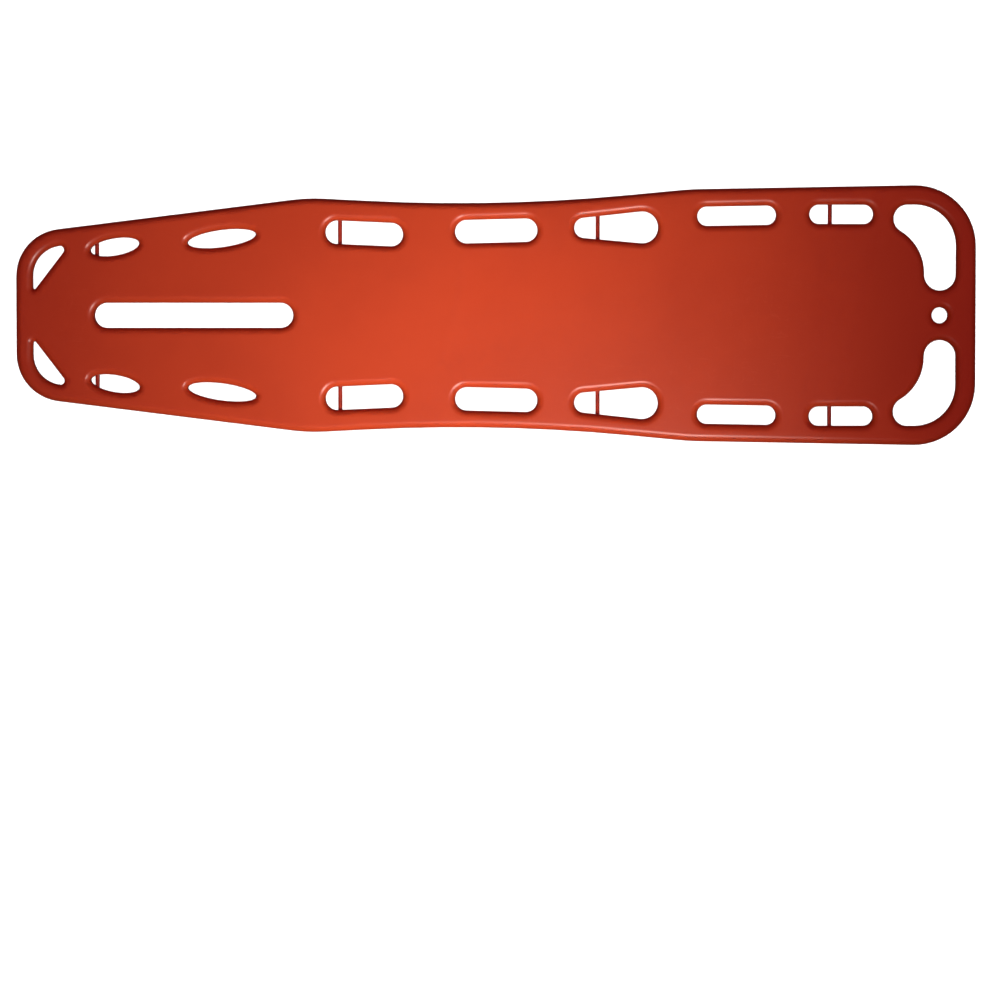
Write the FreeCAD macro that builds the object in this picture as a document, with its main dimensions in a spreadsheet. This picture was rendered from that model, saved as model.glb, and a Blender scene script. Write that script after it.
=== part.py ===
import math
import os

import FreeCAD
import Part
import Sketcher
from FreeCAD import Placement, Rotation, Vector

# Rescue spine board, lying flat with the patient side up.
# +X runs to the head end, +Y to the patient's right side and +Z up.
# The origin lies on the ground under the middle.
# The board is two welded mouldings over a foam core, so most shapes are made three times:
# as the outer skin, then offset inwards by the wall for the hollow, and by a little more for the foam.

SIZES = (
    # The whole board
    ("half_length", 920.0, "middle to the foot edge, and middle to the head edge"),
    ("board_height", 50.0, "plateau underneath to the patient deck"),
    ("wall", 3.5, "moulded wall"),
    ("seam_level", 32.0, "height of the weld between deck and base mouldings"),
    ("deck_lip", 14.5, "rounding of every edge of the patient deck"),
    ("base_lip", 12.5, "rounding of every edge underneath"),
    ("foam_gap", 0.15, "clearance between foam and whatever it surrounds"),
    # Outline, patient's right side: corner points of the straight runs, and the arc that rounds each
    ("head_corner_y", 251.1, "head corner of the outline"),
    ("head_corner_arc", 117.0, "its radius"),
    ("chest_bend_x", 371.6, "outline bend beside the chest"),
    ("chest_bend_y", 241.4, ""),
    ("chest_bend_arc", 600.0, ""),
    ("waist_x", 5.8, "hollow of the outline beside the waist"),
    ("waist_y", 206.6, ""),
    ("waist_arc", 3500.0, ""),
    ("knee_x", -360.6, "outline bend beside the knees, where the leg taper begins"),
    ("knee_y", 224.9, ""),
    ("knee_arc", 350.0, ""),
    ("foot_corner_y", 155.0, "foot corner of the outline"),
    ("foot_corner_arc", 91.0, "its radius"),
    # Plateau underneath that the board rests on; the flanks climb away from it to give finger room
    ("plateau_head_x", 785.0, "head end of the plateau"),
    ("plateau_head_y", 136.0, ""),
    ("plateau_head_arc", 80.0, ""),
    ("plateau_chest_x", 300.0, ""),
    ("plateau_chest_y", 122.0, ""),
    ("plateau_knee_x", -273.0, ""),
    ("plateau_knee_y", 117.0, ""),
    ("plateau_side_arc", 3000.0, "rounding of the two slight bends in each long side"),
    ("plateau_foot_x", -800.0, "foot end of the plateau"),
    ("plateau_foot_y", 96.0, ""),
    ("plateau_foot_arc", 60.0, ""),
    ("flank_slope", 8.0, "degrees that the flanks climb at"),
    # Oval grips and strap slots beside the legs
    ("ankle_x", -731.0, "ankle strap slot, an ellipse"),
    ("ankle_y", 131.0, ""),
    ("ankle_long", 95.0, ""),
    ("ankle_wide", 33.0, ""),
    ("ankle_tilt", 9.5, "degrees, opening outwards towards the head"),
    ("shin_x", -526.0, "shin grip, an ellipse"),
    ("shin_y", 147.0, ""),
    ("shin_long", 132.0, ""),
    ("shin_wide", 33.0, ""),
    ("shin_tilt", 7.6, ""),
    # Round-ended slots: centre, overall length, width and tilt
    ("thigh_x", -252.7, "thigh strap slot"),
    ("thigh_y", 157.0, ""),
    ("thigh_long", 149.0, ""),
    ("thigh_wide", 45.0, ""),
    ("thigh_tilt", -2.5, ""),
    ("hip_x", 0.5, "hip grip"),
    ("hip_y", 161.7, ""),
    ("hip_long", 158.0, ""),
    ("hip_wide", 45.0, ""),
    ("hip_tilt", 1.45, ""),
    ("chest_x", 461.5, "chest grip"),
    ("chest_y", 190.7, ""),
    ("chest_long", 151.5, ""),
    ("chest_wide", 37.0, ""),
    ("chest_tilt", 1.0, ""),
    ("shoulder_x", 662.0, "shoulder strap slot"),
    ("shoulder_y", 193.4, ""),
    ("shoulder_long", 123.0, ""),
    ("shoulder_wide", 37.0, ""),
    ("shoulder_tilt", 0.0, ""),
    ("leg_slot_x", -580.0, "slot between the legs, on the centre line"),
    ("leg_slot_long", 382.0, ""),
    ("leg_slot_wide", 48.0, ""),
    # Waist strap slot, a wedge with a narrow foot end and a wide head end
    ("waist_slot_foot_x", 169.5, ""),
    ("waist_slot_foot_y", 167.5, ""),
    ("waist_slot_foot_arc", 19.5, ""),
    ("waist_slot_head_x", 280.5, ""),
    ("waist_slot_head_y", 168.5, ""),
    ("waist_slot_head_arc", 30.5, ""),
    # Curved grip round each head corner
    ("head_grip_side_x", 789.0, "end beside the head"),
    ("head_grip_side_y", 185.0, ""),
    ("head_grip_side_arc", 27.0, ""),
    ("head_grip_top_x", 851.5, "end above the head"),
    ("head_grip_top_y", 78.0, ""),
    ("head_grip_top_arc", 30.5, ""),
    ("head_grip_corner_x", 803.0, "its outer bend, on the centre of the board's corner"),
    ("head_grip_corner_y", 133.0, ""),
    ("head_grip_corner_arc", 79.0, ""),
    ("head_grip_inner_arc", 95.0, "its hollow inner bend"),
    # D-shaped grip in each foot corner
    ("foot_grip_bend_x", -830.0, "its outer bend, on the centre of the board's corner"),
    ("foot_grip_bend_y", 75.5, ""),
    ("foot_grip_bend_arc", 58.0, ""),
    ("foot_grip_side_arc", 8.0, "small corner towards the long side"),
    ("foot_grip_side_turn", 97.0, "degrees round the bend where that corner sits"),
    ("foot_grip_tip_y", 53.0, "small corner towards the centre line"),
    ("foot_grip_tip_arc", 3.0, ""),
    # Hanging hole at the head end
    ("hang_hole_x", 851.0, ""),
    ("hang_hole_bore", 31.0, "diameter"),
    # U-shaped channel pressed up into the underside
    ("channel_half_gap", 68.0, "centre line of each leg of the U, and radius of its bend"),
    ("channel_wide", 76.0, ""),
    ("channel_deep", 18.0, ""),
    ("channel_foot_x", -276.0, "closed ends of the two legs"),
    ("channel_bend_x", 660.0, "centre of the bend"),
    ("channel_lip", 4.0, "rounding of its edge"),
    # Foam ports in the channel and their plugs
    ("port_thigh_x", -178.0, "positions along the legs of the U"),
    ("port_hip_x", 30.0, ""),
    ("port_waist_x", 245.0, ""),
    ("port_chest_x", 471.0, ""),
    ("port_bore", 18.0, ""),
    ("port_ledge_bore", 14.0, ""),
    ("port_collar", 25.0, "outer diameter of the collar moulded round each port"),
    ("port_recess", 5.0, "channel floor down to the plug's face"),
    ("port_ledge_rise", 8.0, "channel floor to the ledge that stops the plug"),
    ("port_collar_rise", 12.0, "channel floor to the end of the collar"),
    ("plug_fit", 0.1, "clearance of a plug in its port, each side"),
    ("plug_barb", 15.2, "diameter of the barb that locks the plug"),
    ("plug_barb_long", 3.0, ""),
    ("plug_barb_tip", 12.6, "diameter of the barb's end"),
    # Strap pins
    ("pin_bore", 8.0, "diameter of a strap pin"),
    ("pin_fit", 0.1, "clearance of a pin in the mouldings, each side"),
    ("pin_collar", 13.0, "diameter of its two retaining collars"),
    ("pin_collar_long", 3.0, ""),
    ("pin_standoff", 4.5, "slot wall to the collar behind it"),
    ("pin_tail", 3.0, "pin beyond each collar"),
    ("ankle_pin_x", -765.0, ""),
    ("thigh_pin_x", -299.0, ""),
    ("waist_pin_x", 195.0, ""),
    ("shoulder_pin_x", 640.0, ""),
    # Stiffening tubes in the foam
    ("tube_y", 100.0, ""),
    ("tube_level", 31.0, "height of the tubes' centre lines"),
    ("tube_foot_x", -620.0, ""),
    ("tube_long", 1340.0, ""),
    ("tube_outer", 24.0, ""),
    ("tube_inner", 20.0, ""),
    ("cap_flange", 3.0, "thickness of an end cap's flange"),
    ("cap_spigot", 15.0, "length of the cap inside the tube"),
    ("cap_fit", 0.1, "clearance of a cap's spigot, each side"),
)

SIDES = (("right", 1), ("left", -1))
STRAP_SLOTS = ("ankle", "thigh", "waist", "shoulder")
ALONG_X = Rotation(Vector(0, 1, 0), 90)
ALONG_Y = Rotation(Vector(1, 0, 0), -90)

# Sketcher's numbers for the ends of an edge and for the sketch's own origin and axes
START, END, CENTRE = 1, 2, 3
ORIGIN = -1
H_AXIS, V_AXIS = -1, -2
SEAM_TOLERANCE = 1e-6
OVERSHOOT = 1.0
FLANK_REACH = 200.0
ZONE_MARGIN = 20.0


def fill_sheet(doc):
    """Writes the driving dimensions, one row each: meaning, value, alias."""
    sheet = doc.addObject("Spreadsheet::Sheet", "sizes")
    for row, (alias, value, meaning) in enumerate(SIZES, start=1):
        add_size(sheet, row, alias, value, meaning)
    return sheet


def add_size(sheet, row, alias, value, meaning):
    sheet.set(f"A{row}", meaning or alias.replace("_", " "))
    sheet.set(f"B{row}", str(value))
    sheet.setAlias(f"B{row}", alias)


# ---------------------------------------------------------------- plane outlines


def corner_discs(corners):
    """Turns counter-clockwise corners (x, y, arc) into the discs (x, y, arc, side) that round them."""
    discs = []
    for i, (x, y, arc) in enumerate(corners):
        before = corners[i - 1]
        after = corners[(i + 1) % len(corners)]
        arrive = math.atan2(y - before[1], x - before[0])
        leave = math.atan2(after[1] - y, after[0] - x)
        side = 1 if math.sin(leave - arrive) > 0 else -1
        reach = side * arc / math.cos((leave - arrive) / 2)
        heading = arrive + math.remainder(leave - arrive, math.tau) / 2
        if math.cos((leave - arrive) / 2) * math.cos(heading - arrive) < 0:
            reach = -reach
        discs.append((x - reach * math.sin(heading), y + reach * math.cos(heading), arc, side))
    return discs


def belt(discs, grow, level):
    """Closed wire that runs counter-clockwise round the discs, in tangent arcs and straight runs.

    A disc of side 1 lies inside the belt and one of side -1 outside it.
    The belt is grown outwards by grow."""
    rings = [(x, y, side * arc + grow) for x, y, arc, side in discs]
    headings = []
    for i, (x, y, ring) in enumerate(rings):
        ahead_x, ahead_y, ahead_ring = rings[(i + 1) % len(rings)]
        reach = math.hypot(ahead_x - x, ahead_y - y)
        lean = max(-1.0, min(1.0, (ring - ahead_ring) / reach))
        headings.append(math.atan2(ahead_y - y, ahead_x - x) + math.asin(lean))
    runs = []
    for i, (x, y, ring) in enumerate(rings):
        arrive = headings[i - 1]
        turn = (headings[i] - arrive) % math.tau
        if ring < 0:
            turn -= math.tau
        stops = []
        for part in (0.0, 0.5, 1.0):
            heading = arrive + turn * part
            stops.append(Vector(x + ring * math.sin(heading), y - ring * math.cos(heading), level))
        runs.append(stops)
    edges = []
    for i, (start, middle, end) in enumerate(runs):
        edges.append(Part.Arc(start, middle, end).toShape())
        next_start = runs[(i + 1) % len(runs)][0]
        if end.distanceToPoint(next_start) > SEAM_TOLERANCE:
            edges.append(Part.LineSegment(end, next_start).toShape())
    return Part.Wire(edges)


def mirrored_corners(corners):
    """Completes the patient's right half of an outline, listed from head to foot, with its left half."""
    return corners + [(x, -y, arc) for x, y, arc in reversed(corners)]


def slot_discs(sheet, name, hand):
    """The two discs that a round-ended slot runs round."""
    radius = sheet.get(name + "_wide") / 2
    half_run = sheet.get(name + "_long") / 2 - radius
    tilt = math.radians(sheet.get(name + "_tilt"))
    run_x = half_run * math.cos(tilt)
    run_y = half_run * math.sin(tilt)
    middle_x = sheet.get(name + "_x")
    middle_y = sheet.get(name + "_y")
    return [
        (middle_x + run_x, hand * (middle_y + run_y), radius, 1),
        (middle_x - run_x, hand * (middle_y - run_y), radius, 1),
    ]


def leg_slot_discs(sheet):
    radius = sheet.get("leg_slot_wide") / 2
    half_run = sheet.get("leg_slot_long") / 2 - radius
    return [(sheet.get("leg_slot_x") + way * half_run, 0.0, radius, 1) for way in (1, -1)]


def waist_slot_discs(sheet, hand):
    discs = []
    for end in ("head", "foot"):
        name = "waist_slot_" + end
        discs.append((sheet.get(name + "_x"), hand * sheet.get(name + "_y"), sheet.get(name + "_arc"), 1))
    return discs


def head_grip_discs(sheet, hand):
    """Three discs inside the grip, and one outside it that touches both end discs."""
    side, top, corner = (
        (sheet.get(name + "_x"), sheet.get(name + "_y"), sheet.get(name + "_arc"), 1)
        for name in ("head_grip_side", "head_grip_top", "head_grip_corner")
    )
    hollow = sheet.get("head_grip_inner_arc")
    gap = math.hypot(top[0] - side[0], top[1] - side[1])
    to_side = hollow + side[2]
    to_top = hollow + top[2]
    swing = math.acos((gap**2 + to_side**2 - to_top**2) / (2 * gap * to_side))
    heading = math.atan2(top[1] - side[1], top[0] - side[0]) - swing
    inner = (side[0] + to_side * math.cos(heading), side[1] + to_side * math.sin(heading), hollow, -1)
    return handed([top, corner, side, inner], hand)


def foot_grip_discs(sheet, hand):
    bend = (sheet.get("foot_grip_bend_x"), sheet.get("foot_grip_bend_y"), sheet.get("foot_grip_bend_arc"), 1)
    side_arc = sheet.get("foot_grip_side_arc")
    turn = math.radians(sheet.get("foot_grip_side_turn"))
    inset = bend[2] - side_arc
    side = (bend[0] + inset * math.cos(turn), bend[1] + inset * math.sin(turn), side_arc, 1)
    tip_arc = sheet.get("foot_grip_tip_arc")
    tip = (bend[0] - bend[2] + tip_arc, sheet.get("foot_grip_tip_y"), tip_arc, 1)
    return handed([tip, side, bend], hand)


def handed(discs, hand):
    """The discs of a grip on the patient's right side, or mirrored to the left, still counter-clockwise."""
    if hand > 0:
        return discs
    return [(x, -y, arc, side) for x, y, arc, side in reversed(discs)]


def ellipse_wire(sheet, name, hand, grow, level):
    middle = Vector(sheet.get(name + "_x"), hand * sheet.get(name + "_y"), level)
    long_half = sheet.get(name + "_long") / 2 + grow
    wide_half = sheet.get(name + "_wide") / 2 + grow
    edge = Part.Ellipse(middle, long_half, wide_half).toShape()
    edge.rotate(middle, Vector(0, 0, 1), hand * sheet.get(name + "_tilt"))
    return Part.Wire([edge])


def opening_wires(sheet, grow, level):
    """Every hole that goes through the board, by name and side."""
    wires = {}
    for side, hand in SIDES:
        for name in ("ankle", "shin"):
            wires[name, side] = ellipse_wire(sheet, name, hand, grow, level)
        for name in ("thigh", "hip", "chest", "shoulder"):
            wires[name, side] = belt(slot_discs(sheet, name, hand), grow, level)
        wires["waist", side] = belt(waist_slot_discs(sheet, hand), grow, level)
        wires["head_grip", side] = belt(head_grip_discs(sheet, hand), grow, level)
        wires["foot_grip", side] = belt(foot_grip_discs(sheet, hand), grow, level)
    wires["leg", "middle"] = belt(leg_slot_discs(sheet), grow, level)
    hole = Part.Circle(
        Vector(sheet.get("hang_hole_x"), 0, level),
        Vector(0, 0, 1),
        sheet.get("hang_hole_bore") / 2 + grow,
    )
    wires["hanging", "middle"] = Part.Wire([hole.toShape()])
    return wires


# ---------------------------------------------------------------- the board's solid forms


def outline_discs(sheet):
    right = [(sheet.get("half_length"), sheet.get("head_corner_y"), sheet.get("head_corner_arc"))]
    for name in ("chest_bend", "waist", "knee"):
        right.append((sheet.get(name + "_x"), sheet.get(name + "_y"), sheet.get(name + "_arc")))
    right.append((-sheet.get("half_length"), sheet.get("foot_corner_y"), sheet.get("foot_corner_arc")))
    return corner_discs(mirrored_corners(right))


def plateau_discs(sheet):
    right = []
    for name, arc in (
        ("plateau_head", "plateau_head_arc"),
        ("plateau_chest", "plateau_side_arc"),
        ("plateau_knee", "plateau_side_arc"),
        ("plateau_foot", "plateau_foot_arc"),
    ):
        right.append((sheet.get(name + "_x"), sheet.get(name + "_y"), sheet.get(arc)))
    return corner_discs(mirrored_corners(right))


def prism(wire, height):
    return Part.Face(wire).extrude(Vector(0, 0, height))


def lip_edges(shape, upward):
    """Edges between an upright wall and a nearly level face that looks up, or down."""
    edges = []
    for edge in shape.Edges:
        kinds = set()
        for face in shape.ancestorsOfType(edge, Part.Face):
            u_low, u_high, v_low, v_high = face.ParameterRange
            tilt = face.normalAt((u_low + u_high) / 2, (v_low + v_high) / 2).z
            if abs(tilt) < 0.05:
                kinds.add("wall")
            elif tilt * upward > 0.9:
                kinds.add("level")
        if kinds == {"wall", "level"}:
            edges.append(edge)
    return edges


def flank_relief(sheet, inset):
    """What lies under the sloping flanks: a slab with the plateau's spreading hull taken out of it."""
    discs = plateau_discs(sheet)
    rise = FLANK_REACH * math.tan(math.radians(sheet.get("flank_slope")))
    hull = Part.makeLoft([belt(discs, 0.0, inset), belt(discs, FLANK_REACH, inset + rise)], True, True)
    reach = sheet.get("half_length") + ZONE_MARGIN
    slab = Part.makeBox(2 * reach, 2 * reach, rise + inset, Vector(-reach, -reach, 0))
    return slab.cut(hull)


def channel_arc(sheet, grow):
    """Radius of the channel's round section, and the height of its centre."""
    half = sheet.get("channel_wide") / 2
    deep = sheet.get("channel_deep")
    radius = (half**2 + deep**2) / (2 * deep)
    return radius + grow, deep - radius


def channel_solid(sheet, grow):
    """The U-shaped channel as a solid: two legs with domed ends, joined by half a ring."""
    radius, level = channel_arc(sheet, grow)
    foot = -OVERSHOOT
    half = math.sqrt(radius**2 - (foot - level) ** 2)
    centre_y = sheet.get("channel_half_gap")
    start_x = sheet.get("channel_foot_x") + sheet.get("channel_wide") / 2
    bend_x = sheet.get("channel_bend_x")
    up = Vector(0, 0, 1)

    def section(x, y, from_side):
        left = Vector(x, y + from_side * half, foot)
        top = Vector(x, y, level + radius)
        right = Vector(x, y + half, foot)
        if from_side < 0:
            round_edge = Part.Arc(left, top, right).toShape()
            return Part.Face(Part.Wire([round_edge, Part.LineSegment(right, left).toShape()]))
        lean = math.asin(half / radius) / 2
        shoulder = Vector(x, y + radius * math.sin(lean), level + radius * math.cos(lean))
        round_edge = Part.Arc(top, shoulder, right).toShape()
        floor_edge = Part.LineSegment(right, left).toShape()
        centre_edge = Part.LineSegment(left, top).toShape()
        return Part.Face(Part.Wire([round_edge, floor_edge, centre_edge]))

    pieces = []
    for hand in (1, -1):
        leg = section(start_x, hand * centre_y, -1)
        pieces.append(leg.extrude(Vector(bend_x - start_x, 0, 0)))
        dome = section(start_x, hand * centre_y, 0)
        pieces.append(dome.revolve(Vector(start_x, hand * centre_y, 0), up, 180))
    bend = section(bend_x, -centre_y, -1)
    pieces.append(bend.revolve(Vector(bend_x, 0, 0), up, 180))
    return pieces[0].multiFuse(pieces[1:]).removeSplitter()


def channel_rim_edges(shape, sheet):
    """Edges of the channel where it meets the plateau."""
    reach_y = sheet.get("channel_half_gap") + sheet.get("channel_wide") / 2
    edges = []
    for edge in shape.Edges:
        on_ground = max(abs(edge.BoundBox.ZMin), abs(edge.BoundBox.ZMax)) < 0.01
        box = edge.BoundBox
        within = box.YMax < reach_y + 1 and box.YMin > -reach_y - 1
        past_foot_end = box.XMin > sheet.get("channel_foot_x") - 1
        if on_ground and within and past_foot_end:
            edges.append(edge)
    return edges


def board_form(sheet, inset):
    """The whole board as one solid, offset inwards by inset."""
    height = sheet.get("board_height") - 2 * inset
    form = prism(belt(outline_discs(sheet), -inset, inset), height)
    holes = [prism(wire, height) for wire in opening_wires(sheet, inset, inset).values()]
    form = form.cut(holes)
    form = form.makeFillet(sheet.get("deck_lip") - inset, lip_edges(form, 1))
    form = form.cut(flank_relief(sheet, inset))
    form = form.makeFillet(sheet.get("base_lip") - inset, lip_edges(form, -1))
    form = form.cut(channel_solid(sheet, inset))
    if inset == 0:
        form = form.makeFillet(sheet.get("channel_lip"), channel_rim_edges(form, sheet))
    return form.Solids[0]


# ---------------------------------------------------------------- document objects


def drum(doc, name, radius, height, place, turn=Rotation()):
    """A plain cylinder whose sizes and place are formulas on the sheet."""
    cylinder = doc.addObject("Part::Cylinder", name)
    cylinder.setExpression("Radius", radius)
    cylinder.setExpression("Height", height)
    settle(cylinder, place, turn)
    return cylinder


def settle(piece, place, turn=Rotation()):
    """Turns a piece and binds its position, three formulas, to the sheet."""
    piece.Placement = Placement(Vector(), turn)
    for axis, formula in zip("xyz", place):
        piece.setExpression("Placement.Base." + axis, formula)


def boolean(doc, kind, name, base, tool):
    result = doc.addObject(kind, name)
    result.Base = base
    result.Tool = tool
    return result


def fused(doc, name, shapes):
    result = doc.addObject("Part::MultiFuse", name)
    result.Shapes = shapes
    return result


def computed(doc, name, shape):
    feature = doc.addObject("Part::Feature", name)
    feature.Shape = shape
    return feature


def origin_plane(body, role):
    return next(plane for plane in body.Origin.OriginFeatures if plane.Role == role)


def sketch_on(body, role):
    sketch = body.newObject("Sketcher::SketchObject", body.Name + "_sketch")
    sketch.AttachmentSupport = [(origin_plane(body, role), "")]
    sketch.MapMode = "FlatFace"
    return sketch


def turned_piece(doc, name, profile):
    """A body of revolution about its own Z.

    The profile lists (radius, height) formulas round its half section."""
    body = doc.addObject("PartDesign::Body", name)
    sketch = sketch_on(body, "XZ_Plane")
    count = len(profile)
    for i in range(count):
        ahead = (i + 1) % count
        sketch.addGeometry(Part.LineSegment(Vector(i + 1, i, 0), Vector(ahead + 1, ahead, 0)))
    for i in range(count):
        sketch.addConstraint(Sketcher.Constraint("Coincident", i, END, (i + 1) % count, START))
    for i, (radius, height) in enumerate(profile):
        for kind, formula, axis in (("DistanceX", radius, V_AXIS), ("DistanceY", height, H_AXIS)):
            if formula == "0":
                sketch.addConstraint(Sketcher.Constraint("PointOnObject", i, START, axis))
                continue
            size = sketch.addConstraint(Sketcher.Constraint(kind, ORIGIN, START, i, START, 1.0))
            sketch.setExpression(f"Constraints[{size}]", formula)
    spin = body.newObject("PartDesign::Revolution", name + "_turned")
    spin.Profile = sketch
    spin.ReferenceAxis = (sketch, ["V_Axis"])
    spin.Angle = 360
    return body


def tube(doc, name, outer, inner, length):
    """A round tube along its own X."""
    body = doc.addObject("PartDesign::Body", name)
    sketch = sketch_on(body, "YZ_Plane")
    for i, radius in enumerate((outer, inner)):
        sketch.addGeometry(Part.Circle(Vector(0, 0, 0), Vector(0, 0, 1), 10.0 - i))
        sketch.addConstraint(Sketcher.Constraint("Coincident", i, CENTRE, ORIGIN, START))
        size = sketch.addConstraint(Sketcher.Constraint("Radius", i, 10.0 - i))
        sketch.setExpression(f"Constraints[{size}]", radius)
    pad = body.newObject("PartDesign::Pad", name + "_run")
    pad.Profile = sketch
    pad.setExpression("Length", length)
    return body


def measure_pins(sheet, wires):
    """Adds each strap pin's middle and the clear width of its slot there to the sheet."""
    row = len(SIZES)
    reach = sheet.get("half_length")
    for name in STRAP_SLOTS:
        x = sheet.get(name + "_pin_x")
        chord = Part.makeLine(Vector(x, 0, 0), Vector(x, reach, 0)).common(Part.Face(wires[name, "right"]))
        box = chord.BoundBox
        add_size(sheet, row + 1, name + "_pin_y", (box.YMin + box.YMax) / 2, "middle of the pin")
        add_size(sheet, row + 2, name + "_pin_span", box.YMax - box.YMin, "slot width at the pin")
        row += 2


def pin_half_length(name):
    return (
        f"(sizes.{name}_pin_span / 2 + sizes.wall + sizes.pin_standoff"
        " + sizes.pin_collar_long + sizes.pin_tail)"
    )


def strap_pins(doc):
    """The bars that strap clips snap on to, each with a collar behind either wall of its slot."""
    pins = []
    for name in STRAP_SLOTS:
        near = f"(sizes.{name}_pin_span / 2 + sizes.wall + sizes.pin_standoff)"
        far = near + " + sizes.pin_collar_long"
        end = pin_half_length(name)
        rod = "sizes.pin_bore / 2"
        collar = "sizes.pin_collar / 2"
        half = [(rod, near), (collar, near), (collar, far), (rod, far), (rod, end), ("0", end)]
        lower = [(radius, "-(" + height + ")") for radius, height in reversed(half)]
        for side, hand in SIDES:
            pin = turned_piece(doc, f"strap_pin_{name}_{side}", lower + half)
            settle(pin, pin_place(name, hand), ALONG_Y)
            pins.append(pin)
    return pins


def pin_place(name, hand):
    return (f"sizes.{name}_pin_x", f"{hand} * sizes.{name}_pin_y", "sizes.seam_level")


def pin_drums(doc, prefix, radius, margin):
    """Straight drums on the pins' centre lines, that long past each end."""
    drums = []
    for name in STRAP_SLOTS:
        half = f"({pin_half_length(name)} + {margin})"
        for side, hand in SIDES:
            x, y, z = pin_place(name, hand)
            start = (x, f"{y} - {half}", z)
            drums.append(drum(doc, f"{prefix}_{name}_{side}", radius, f"2 * {half}", start, ALONG_Y))
    return drums


def port_places():
    """Name and (x, y) formulas of each foam port, along both legs of the U and at its bend."""
    places = []
    for name in ("thigh", "hip", "waist", "chest"):
        for side, hand in SIDES:
            places.append((f"{name}_{side}", f"sizes.port_{name}_x", f"{hand} * sizes.channel_half_gap"))
    places.append(("bend", "sizes.channel_bend_x + sizes.channel_half_gap", "0"))
    return places


def port_drums(doc, prefix, radius, foot, height):
    return [
        drum(doc, f"{prefix}_{name}", radius, height, (x, y, f"sizes.channel_deep + {foot}"))
        for name, x, y in port_places()
    ]


def port_plugs(doc):
    """Push-in plugs: a flat face, a shank through the collar's ledge, and a barb behind it."""
    head = "sizes.port_bore / 2 - sizes.plug_fit"
    shank = "sizes.port_ledge_bore / 2 - sizes.plug_fit"
    ledge = "sizes.port_ledge_rise - sizes.port_recess"
    back = "sizes.port_collar_rise - sizes.port_recess + sizes.plug_fit"
    tip = back + " + sizes.plug_barb_long"
    profile = [
        ("0", "0"),
        (head, "0"),
        (head, ledge),
        (shank, ledge),
        (shank, back),
        ("sizes.plug_barb / 2", back),
        ("sizes.plug_barb_tip / 2", tip),
        ("0", tip),
    ]
    plugs = []
    for name, x, y in port_places():
        plug = turned_piece(doc, "port_plug_" + name, profile)
        settle(plug, (x, y, "sizes.channel_deep + sizes.port_recess"))
        plugs.append(plug)
    return plugs


def stiffeners(doc):
    """Two tubes inside the foam, with a cap pushed into each end to keep foam out."""
    pieces = []
    spigot = "sizes.tube_inner / 2 - sizes.cap_fit"
    flange = "sizes.tube_outer / 2"
    cap_profile = [
        ("0", "-sizes.cap_flange"),
        (flange, "-sizes.cap_flange"),
        (flange, "0"),
        (spigot, "0"),
        (spigot, "sizes.cap_spigot"),
        ("0", "sizes.cap_spigot"),
    ]
    ends = (("foot", "sizes.tube_foot_x", 90), ("head", "sizes.tube_foot_x + sizes.tube_long", -90))
    for side, hand in SIDES:
        y = f"{hand} * sizes.tube_y"
        rod = tube(doc, "stiffener_tube_" + side, flange, "sizes.tube_inner / 2", "sizes.tube_long")
        settle(rod, ("sizes.tube_foot_x", y, "sizes.tube_level"))
        pieces.append(rod)
        for end, x, turn in ends:
            cap = turned_piece(doc, f"tube_cap_{end}_{side}", cap_profile)
            settle(cap, (x, y, "sizes.tube_level"), Rotation(Vector(0, 1, 0), turn))
            pieces.append(cap)
    return pieces


def tube_drums(doc):
    """Straight drums that clear each stiffener tube and its caps."""
    past_end = "(sizes.cap_flange + sizes.foam_gap)"
    radius = "sizes.tube_outer / 2 + sizes.foam_gap"
    length = f"sizes.tube_long + 2 * {past_end}"
    drums = []
    for side, hand in SIDES:
        place = (f"sizes.tube_foot_x - {past_end}", f"{hand} * sizes.tube_y", "sizes.tube_level")
        drums.append(drum(doc, "tube_pocket_" + side, radius, length, place, ALONG_X))
    return drums


def mouldings(doc, sheet):
    """Deck and base shells.

    They are the skin less the hollow, parted at the seam and bored for the pins and ports."""
    skin = computed(doc, "skin", board_form(sheet, 0.0))
    hollow = computed(doc, "hollow", board_form(sheet, sheet.get("wall")))
    walls = boolean(doc, "Part::Cut", "walls", skin, hollow)

    above_seam = doc.addObject("Part::Box", "above_seam")
    above_seam.setExpression("Length", "2 * sizes.half_length + 20")
    above_seam.setExpression("Width", "sizes.half_length")
    above_seam.setExpression("Height", "sizes.board_height")
    settle(above_seam, ("-sizes.half_length - 10", "-sizes.half_length / 2", "sizes.seam_level"))

    bore_radius = "sizes.pin_bore / 2 + sizes.pin_fit"
    pin_bores = fused(doc, "pin_bores", pin_drums(doc, "pin_bore", bore_radius, "1"))
    deck_half = boolean(doc, "Part::Common", "deck_half", walls, above_seam)
    deck = boolean(doc, "Part::Cut", "deck_shell", deck_half, pin_bores)

    base_half = boolean(doc, "Part::Cut", "base_half", walls, above_seam)
    collars = port_drums(doc, "collar", "sizes.port_collar / 2", "0.5", "sizes.port_collar_rise - 0.5")
    base_with_collars = fused(doc, "base_with_collars", [base_half] + collars)
    wide = port_drums(doc, "port_bore", "sizes.port_bore / 2", "-5", "sizes.port_ledge_rise + 5")
    narrow = port_drums(doc, "ledge_bore", "sizes.port_ledge_bore / 2", "0", "sizes.port_collar_rise + 1")
    bores = fused(doc, "base_bores", [pin_bores] + wide + narrow)
    base = boolean(doc, "Part::Cut", "base_shell", base_with_collars, bores)
    return [deck, base]


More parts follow.
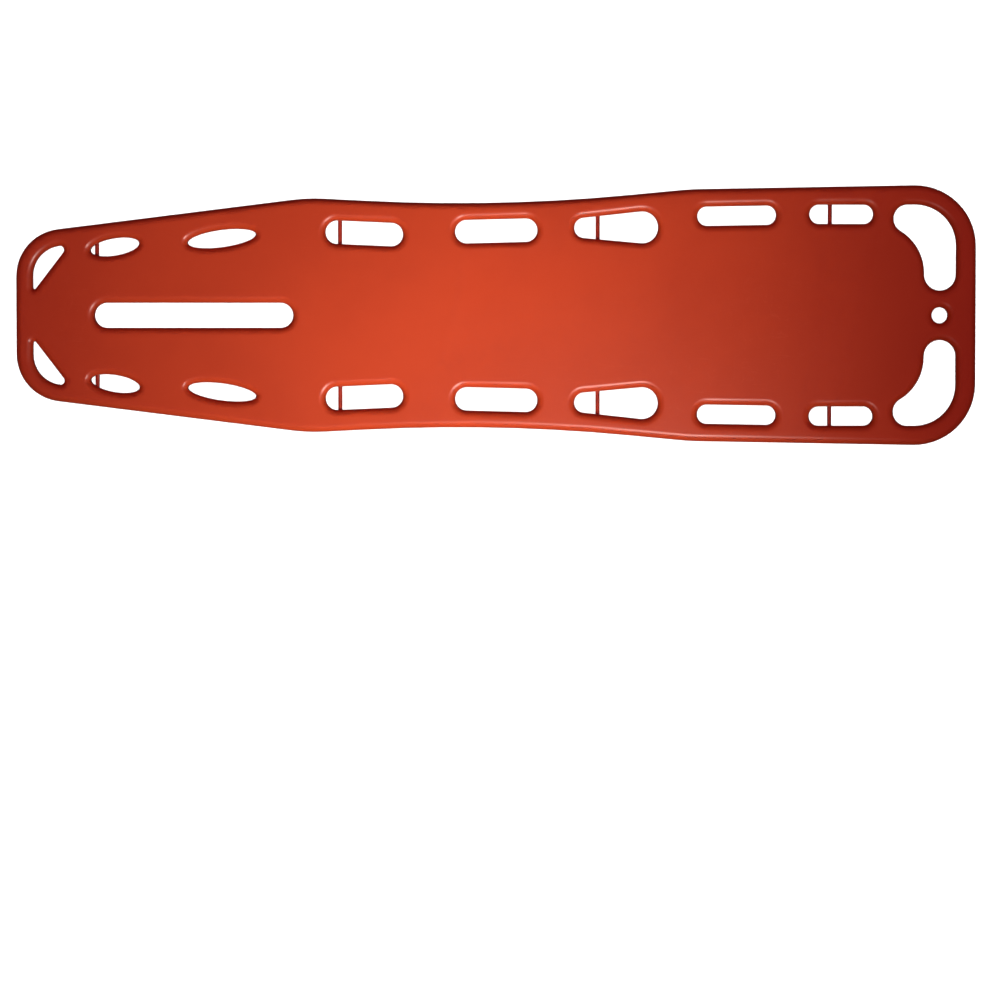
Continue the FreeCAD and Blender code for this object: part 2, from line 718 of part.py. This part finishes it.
def foam_core(doc, sheet):
    """Rigid foam that fills the hollow, with pockets round the pins, plugs and tubes."""
    blank = computed(doc, "foam_blank", board_form(sheet, sheet.get("wall") + sheet.get("foam_gap")))
    pockets = pin_drums(doc, "pin_pocket", "sizes.pin_collar / 2 + sizes.foam_gap", "sizes.foam_gap")
    pockets += port_drums(
        doc,
        "port_pocket",
        "sizes.port_collar / 2 + sizes.foam_gap",
        "0",
        "sizes.port_collar_rise + sizes.plug_barb_long + 1",
    )
    pockets += tube_drums(doc)
    return boolean(doc, "Part::Cut", "foam_core", blank, fused(doc, "foam_pockets", pockets))


def check(doc, pieces):
    """Stops if any object failed to build, or any piece is empty or broken."""
    for thing in doc.Objects:
        if "Invalid" in thing.State or "Error" in thing.State:
            raise RuntimeError(f"{thing.Label} did not build: {thing.State}")
    for piece in pieces:
        if piece.Shape.isNull() or not piece.Shape.isValid():
            raise RuntimeError(f"{piece.Label} has no valid shape")
        if len(piece.Shape.Solids) != 1:
            raise RuntimeError(f"{piece.Label} has {len(piece.Shape.Solids)} solids")


def build():
    doc = FreeCAD.newDocument("spine_board")
    sheet = fill_sheet(doc)
    doc.recompute()
    measure_pins(sheet, opening_wires(sheet, 0.0, 0.0))
    doc.recompute()
    pieces = mouldings(doc, sheet)
    pieces.append(foam_core(doc, sheet))
    pieces += strap_pins(doc)
    pieces += port_plugs(doc)
    pieces += stiffeners(doc)
    doc.recompute()
    check(doc, pieces)
    os.makedirs("parts", exist_ok=True)
    for piece in pieces:
        piece.Shape.exportStep(f"parts/{piece.Label}.step")
        print(f"{piece.Label}: {piece.Shape.Volume / 1000:.1f} cm3")


build()
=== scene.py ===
import bpy
import math
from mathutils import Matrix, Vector


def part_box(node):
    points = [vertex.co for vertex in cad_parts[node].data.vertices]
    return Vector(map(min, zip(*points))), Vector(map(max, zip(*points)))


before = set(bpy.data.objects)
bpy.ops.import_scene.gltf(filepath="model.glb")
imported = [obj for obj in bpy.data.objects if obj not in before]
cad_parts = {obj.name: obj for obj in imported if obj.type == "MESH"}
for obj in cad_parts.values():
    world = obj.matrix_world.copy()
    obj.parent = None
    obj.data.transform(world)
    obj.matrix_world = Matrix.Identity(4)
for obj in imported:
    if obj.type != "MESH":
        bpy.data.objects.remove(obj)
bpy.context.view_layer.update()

# Board directions, in metres: +X to the head end, +Y to the patient's right, +Z up; the ground is z = 0.
BOARD_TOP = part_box("deck_shell")[1].z

# Finishes: linear colours
SHELL_RED = (0.610, 0.068, 0.020)
SHELL_DEEP = (0.550, 0.058, 0.017)
SHELL_PALE = (0.680, 0.105, 0.045)
PIN_RED = (0.420, 0.036, 0.016)
PLUG_RED = (0.360, 0.030, 0.015)
FOAM_CREAM = (0.720, 0.610, 0.380)
GLASS_FIBRE = (0.640, 0.620, 0.470)
CAP_BLACK = (0.020, 0.020, 0.022)
FLOOR_PALE = (0.90, 0.90, 0.90)
FLOOR_SHADE = (0.89, 0.89, 0.89)

# Hairlines: how far either side of its middle value a noise still draws a line, how strongly the lines show,
# and how much rougher they are
HAIRLINE_WIDTH = 0.006
HAIRLINE_SHOW = 0.22
HAIRLINE_ROUGH = 0.08

# Smooth shading: edges sharper than this stay creases, points closer than this are one, and large flat faces
# count for more than the narrow ones round a corner
CREASE_ANGLE = math.radians(40.0)
WELD_REACH = 1e-6
FLAT_FACE_WEIGHT = 60

# Studio: a soft beam from the patient's left leans on the middle of the board and gives its colour; a smaller
# lamp near the patient's left shoulder gives the gleams along the lips; a wide faint one from above fills the
# board's shaded sides; the floor has a lamp and a fill of its own. Powers are in watts, and in watts per
# square metre for the two fills.
BEAM_AIM = Vector((-0.08, -0.05, BOARD_TOP))
BEAM_OFFSET = Vector((0.36, -2.03, 2.45))
BEAM_SIZE = 0.45
BEAM_SPREAD = math.radians(36.0)
BEAM_POWER = 4.5
BEAM_COLOUR = (1.0, 1.0, 0.90)
GLEAM_PLACE = Vector((0.38, -0.80, 1.10))
GLEAM_AIM = Vector((-0.48, 0.0, BOARD_TOP))
GLEAM_SIZE = 0.28
GLEAM_SPREAD = math.radians(110.0)
GLEAM_POWER = 11.5
GLEAM_COLOUR = (1.0, 0.76, 0.70)
FILL_COLOUR = (1.0, 0.20, 0.26)
FILL_ANGLE = math.radians(120.0)
FILL_POWER = 0.78
FLOOR_POWER = 4000.0
FLOOR_LAMP_RADIUS = 0.6
FLOOR_FILL_POWER = 3.0
FLOOR_FILL_ANGLE = math.radians(150.0)
FLOOR_REACH = 14.0
AIR_GLOW = 0.03
BACKDROP_GLOW = 1.0
OVERHEAD = Vector((0.0, 0.0, 5.0))

# Camera: straight above the board's middle, leaning a little to the patient's left, so that the board sits in
# the upper part of the picture
VIEW_WIDTH = 1.9187
CAMERA_PLACE = Vector((0.0077, 0.0, 8.0))
CAMERA_AIM = Vector((0.0077, -0.354, BOARD_TOP))
SENSOR = 36.0
FARTHEST_SEEN = 100.0


# ---------------------------------------------------------------- node helpers


class Nodes:
    """A short way to add and wire shader nodes."""

    def __init__(self, name):
        self.material = bpy.data.materials.new(name)
        self.material.use_nodes = True
        self.tree = self.material.node_tree
        self.shader = self.tree.nodes["Principled BSDF"]
        self.place = self.add("ShaderNodeTexCoord").outputs["Object"]

    def add(self, kind, **settings):
        """A new node with its settings."""
        node = self.tree.nodes.new(kind)
        for key, value in settings.items():
            setattr(node, key, value)
        return node

    def wire(self, source, target):
        self.tree.links.new(source, target)

    def noise(self, scale, detail=3.0, roughness=0.5, stretch=None):
        """Soft noise with scale features to the metre; a stretch below 1 draws them out along that axis."""
        node = self.add("ShaderNodeTexNoise")
        node.inputs["Scale"].default_value = scale
        node.inputs["Detail"].default_value = detail
        node.inputs["Roughness"].default_value = roughness
        self.wire(self.stretched(stretch), node.inputs["Vector"])
        return node.outputs["Fac"]

    def stretched(self, stretch):
        if stretch is None:
            return self.place
        node = self.add("ShaderNodeMapping")
        node.inputs["Scale"].default_value = stretch
        self.wire(self.place, node.inputs["Vector"])
        return node.outputs["Vector"]

    def ramp(self, source, low, high, low_value=0.0, high_value=1.0):
        """Maps source from low..high to low_value..high_value, held at both ends."""
        node = self.add("ShaderNodeMapRange", interpolation_type="SMOOTHSTEP")
        limits = {"From Min": low, "From Max": high, "To Min": low_value, "To Max": high_value}
        for key, value in limits.items():
            node.inputs[key].default_value = value
        self.wire(source, node.inputs["Value"])
        return node.outputs["Result"]

    def maths(self, operation, *values):
        """One sum on numbers or on other nodes' outputs."""
        node = self.add("ShaderNodeMath", operation=operation)
        for socket, value in zip(node.inputs, values):
            if isinstance(value, (int, float)):
                socket.default_value = value
            else:
                self.wire(value, socket)
        return node.outputs["Value"]

    def mix(self, amount, first, second):
        """Blends from the first colour, at amount 0, to the second, at 1."""
        node = self.add("ShaderNodeMix", data_type="RGBA")
        self.wire(amount, node.inputs["Factor"])
        for socket, value in ((node.inputs[6], first), (node.inputs[7], second)):
            if isinstance(value, tuple):
                socket.default_value = (*value, 1.0)
            else:
                self.wire(value, socket)
        return node.outputs[2]

    def bump(self, height, distance, strength=1.0, under=None):
        """Raises the look of the surface by up to distance, in metres, on top of the bump under it."""
        node = self.add("ShaderNodeBump")
        node.inputs["Strength"].default_value = strength
        node.inputs["Distance"].default_value = distance
        self.wire(height, node.inputs["Height"])
        if under is not None:
            self.wire(under, node.inputs["Normal"])
        return node.outputs["Normal"]

    def finish(self, colour=None, roughness=None, normal=None):
        """Wires what is given to the shader and returns the material."""
        for name, source in (("Base Color", colour), ("Roughness", roughness), ("Normal", normal)):
            if source is not None:
                self.wire(source, self.shader.inputs[name])
        return self.material


# ---------------------------------------------------------------- materials


def darker(colour, factor=0.8):
    """The same hue with less light in it."""
    return tuple(channel * factor for channel in colour)


def scuffs(n, scale, stretch, low, high):
    """Thin broken hairlines: a stretched noise, kept only where it runs through its middle value.

    A second noise fades them in from low to high, so that they come in patches.
    """
    field = n.noise(scale, 2.0, 0.5, stretch)
    line = n.maths("ABSOLUTE", n.maths("SUBTRACT", field, 0.5))
    thin = n.ramp(line, 0.0, HAIRLINE_WIDTH, 1.0, 0.0)
    patches = n.ramp(n.noise(3.1, 2.0), low, high)
    return n.maths("MULTIPLY", thin, patches)


def moulded_shell(name):
    """Satin moulded polyethylene: soft cloudy colour, fine grain, faint sink marks and handling hairlines."""
    n = Nodes(name)
    clouds = n.ramp(n.noise(2.3, 4.0, 0.55), 0.35, 0.65)
    colour = n.mix(clouds, SHELL_RED, SHELL_DEEP)
    freckles = n.ramp(n.noise(160.0, 2.0), 0.60, 0.78, 0.0, 0.30)
    colour = n.mix(freckles, colour, SHELL_DEEP)
    lengthways = scuffs(n, 30.0, (0.25, 1.6, 1.0), 0.48, 0.70)
    crossways = scuffs(n, 26.0, (1.3, 0.3, 1.0), 0.55, 0.72)
    hairlines = n.maths("ADD", lengthways, crossways)
    colour = n.mix(n.maths("MULTIPLY", hairlines, HAIRLINE_SHOW), colour, SHELL_PALE)
    grain = n.noise(1500.0, 2.0, 0.6)
    pebble = n.noise(420.0, 2.0, 0.5)
    waves = n.noise(9.0, 1.0, 0.4)
    satin = n.ramp(n.noise(5.0, 5.0, 0.6), 0.3, 0.7, 0.34, 0.37)
    roughness = n.maths("ADD", satin, n.maths("MULTIPLY", hairlines, HAIRLINE_ROUGH))
    normal = n.bump(waves, 0.0003, 0.5)
    normal = n.bump(pebble, 0.00010, 0.5, normal)
    normal = n.bump(grain, 0.00004, 0.5, normal)
    n.shader.inputs["Specular IOR Level"].default_value = 0.35
    n.shader.inputs["IOR"].default_value = 1.52
    return n.finish(colour, roughness, normal)


def smooth_plastic(name, colour, rough):
    """Small moulded plastic or rubber pieces: a faint mottle over an even gloss."""
    n = Nodes(name)
    clouds = n.ramp(n.noise(70.0, 3.0), 0.35, 0.65)
    shade = n.mix(clouds, colour, darker(colour))
    roughness = n.ramp(n.noise(240.0, 3.0), 0.3, 0.7, rough, rough + 0.08)
    normal = n.bump(n.noise(900.0, 2.0), 0.00004, 0.5)
    return n.finish(shade, roughness, normal)


def rigid_foam(name):
    """Closed-cell foam: a cell pattern in colour and bump."""
    n = Nodes(name)
    cells = n.add("ShaderNodeTexVoronoi")
    cells.inputs["Scale"].default_value = 650.0
    n.wire(n.place, cells.inputs["Vector"])
    hollow = n.ramp(cells.outputs["Distance"], 0.1, 0.6)
    shade = n.mix(hollow, FOAM_CREAM, darker(FOAM_CREAM, 0.72))
    roughness = n.ramp(hollow, 0.0, 1.0, 0.85, 0.95)
    return n.finish(shade, roughness, n.bump(cells.outputs["Distance"], 0.0004, 0.6))


def wound_fibre(name):
    """Pale glass-fibre tube with lengthwise rovings under a thin resin skin."""
    n = Nodes(name)
    rovings = n.noise(700.0, 3.0, 0.6, (0.03, 1.0, 1.0))
    shade = n.mix(n.ramp(rovings, 0.35, 0.65), GLASS_FIBRE, darker(GLASS_FIBRE, 0.75))
    roughness = n.ramp(rovings, 0.3, 0.7, 0.28, 0.40)
    return n.finish(shade, roughness, n.bump(rovings, 0.0001, 0.6))


def plain_floor(name):
    """A matt pale floor."""
    n = Nodes(name)
    tone = n.ramp(n.noise(0.7, 2.0), 0.3, 0.7)
    shade = n.mix(tone, FLOOR_PALE, FLOOR_SHADE)
    n.shader.inputs["Roughness"].default_value = 0.9
    n.shader.inputs["Specular IOR Level"].default_value = 0.1
    return n.finish(shade)


# ---------------------------------------------------------------- the board


def smooth_shading(piece):
    """Rounds the shading of curved faces and keeps the flat faces flat; no point moves past WELD_REACH."""
    piece.data.shade_smooth()
    weld = piece.modifiers.new("join_faces", "WELD")
    weld.merge_threshold = WELD_REACH
    piece.data.set_sharp_from_angle(angle=CREASE_ANGLE)
    weighted = piece.modifiers.new("flat_faces_stay_flat", "WEIGHTED_NORMAL")
    weighted.keep_sharp = True
    weighted.weight = FLAT_FACE_WEIGHT


def paint(piece, material):
    """Puts one material on the whole piece."""
    piece.data.materials.clear()
    piece.data.materials.append(material)


def dress_board():
    """Gives every CAD node its finish."""
    finishes = {
        "deck_shell": moulded_shell("shell_deck"),
        "base_shell": moulded_shell("shell_base"),
        "foam_core": rigid_foam("foam"),
        "strap_pin": smooth_plastic("pin_nylon", PIN_RED, 0.30),
        "port_plug": smooth_plastic("plug_plastic", PLUG_RED, 0.42),
        "stiffener_tube": wound_fibre("glass_fibre"),
        "tube_cap": smooth_plastic("cap_rubber", CAP_BLACK, 0.62),
    }
    for name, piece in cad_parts.items():
        family = next(key for key in finishes if name.startswith(key))
        paint(piece, finishes[family])
        smooth_shading(piece)


# ---------------------------------------------------------------- studio


def floor():
    """One large square on the ground; it colours neither the board's faces nor its gloss."""
    mesh = bpy.data.meshes.new("studio_floor")
    corners = [(x * FLOOR_REACH, y * FLOOR_REACH, 0) for x, y in ((-1, -1), (1, -1), (1, 1), (-1, 1))]
    mesh.from_pydata(corners, [], [(0, 1, 2, 3)])
    obj = bpy.data.objects.new("studio_floor", mesh)
    bpy.context.scene.collection.objects.link(obj)
    mesh.materials.append(plain_floor("pale_floor"))
    obj.visible_diffuse = False
    obj.visible_glossy = False
    return obj


def group(name, members):
    """A collection that lights can be limited to; it isn't linked into the scene."""
    collection = bpy.data.collections.new(name)
    for member in members:
        collection.objects.link(member)
    return collection


def light(name, kind, place, aim, power, receivers, **settings):
    """A lamp that shines only on its receivers."""
    data = bpy.data.lights.new(name, kind)
    data.energy = power
    for key, value in settings.items():
        setattr(data, key, value)
    obj = bpy.data.objects.new(name, data)
    obj.location = place
    obj.rotation_euler = (Vector(aim) - Vector(place)).to_track_quat("-Z", "Y").to_euler()
    bpy.context.scene.collection.objects.link(obj)
    obj.light_linking.receiver_collection = receivers
    return obj


def studio(ground):
    """The board's beam, gleams and faint overhead fill, and a lamp and a soft fill for the floor."""
    board = group("lit_board", list(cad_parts.values()))
    stage = group("lit_floor", [ground])
    beam = light("key_beam", "AREA", BEAM_AIM + BEAM_OFFSET, BEAM_AIM, BEAM_POWER, board,
                 shape="DISK", size=BEAM_SIZE, spread=BEAM_SPREAD, color=BEAM_COLOUR)
    beam.visible_glossy = False
    gleam = light("gleam", "AREA", GLEAM_PLACE, GLEAM_AIM, GLEAM_POWER, board,
                  shape="DISK", size=GLEAM_SIZE, spread=GLEAM_SPREAD, color=GLEAM_COLOUR)
    gleam.visible_diffuse = False
    light("red_fill", "SUN", OVERHEAD, BEAM_AIM, FILL_POWER, board, angle=FILL_ANGLE, color=FILL_COLOUR)
    light("floor_light", "POINT", CAMERA_PLACE, BEAM_AIM, FLOOR_POWER, stage,
          shadow_soft_size=FLOOR_LAMP_RADIUS)
    light("floor_fill", "SUN", OVERHEAD, BEAM_AIM, FLOOR_FILL_POWER, stage, angle=FLOOR_FILL_ANGLE)


def air():
    """A pale backdrop that adds only a faint glow to the board."""
    world = bpy.data.worlds.new("studio_air")
    world.use_nodes = True
    tree = world.node_tree
    backdrop = tree.nodes["Background"]
    backdrop.inputs["Color"].default_value = (1.0, 1.0, 1.0, 1.0)
    seen = tree.nodes.new("ShaderNodeLightPath").outputs["Is Camera Ray"]
    strength = tree.nodes.new("ShaderNodeMath")
    strength.operation = "MULTIPLY_ADD"
    strength.inputs[1].default_value = BACKDROP_GLOW - AIR_GLOW
    strength.inputs[2].default_value = AIR_GLOW
    tree.links.new(seen, strength.inputs[0])
    tree.links.new(strength.outputs["Value"], backdrop.inputs["Strength"])
    bpy.context.scene.world = world


def camera():
    """Frames a width of VIEW_WIDTH at the point it aims at."""
    data = bpy.data.cameras.new("camera")
    gaze = CAMERA_AIM - CAMERA_PLACE
    data.sensor_width = SENSOR
    data.lens = SENSOR * gaze.length / VIEW_WIDTH
    data.clip_end = FARTHEST_SEEN
    obj = bpy.data.objects.new("camera", data)
    obj.location = CAMERA_PLACE
    obj.rotation_euler = (math.atan2(gaze.y, -gaze.z), 0.0, 0.0)
    bpy.context.scene.collection.objects.link(obj)
    bpy.context.scene.camera = obj


camera()
dress_board()
studio(floor())
air()
bpy.context.scene.view_settings.view_transform = "Standard"
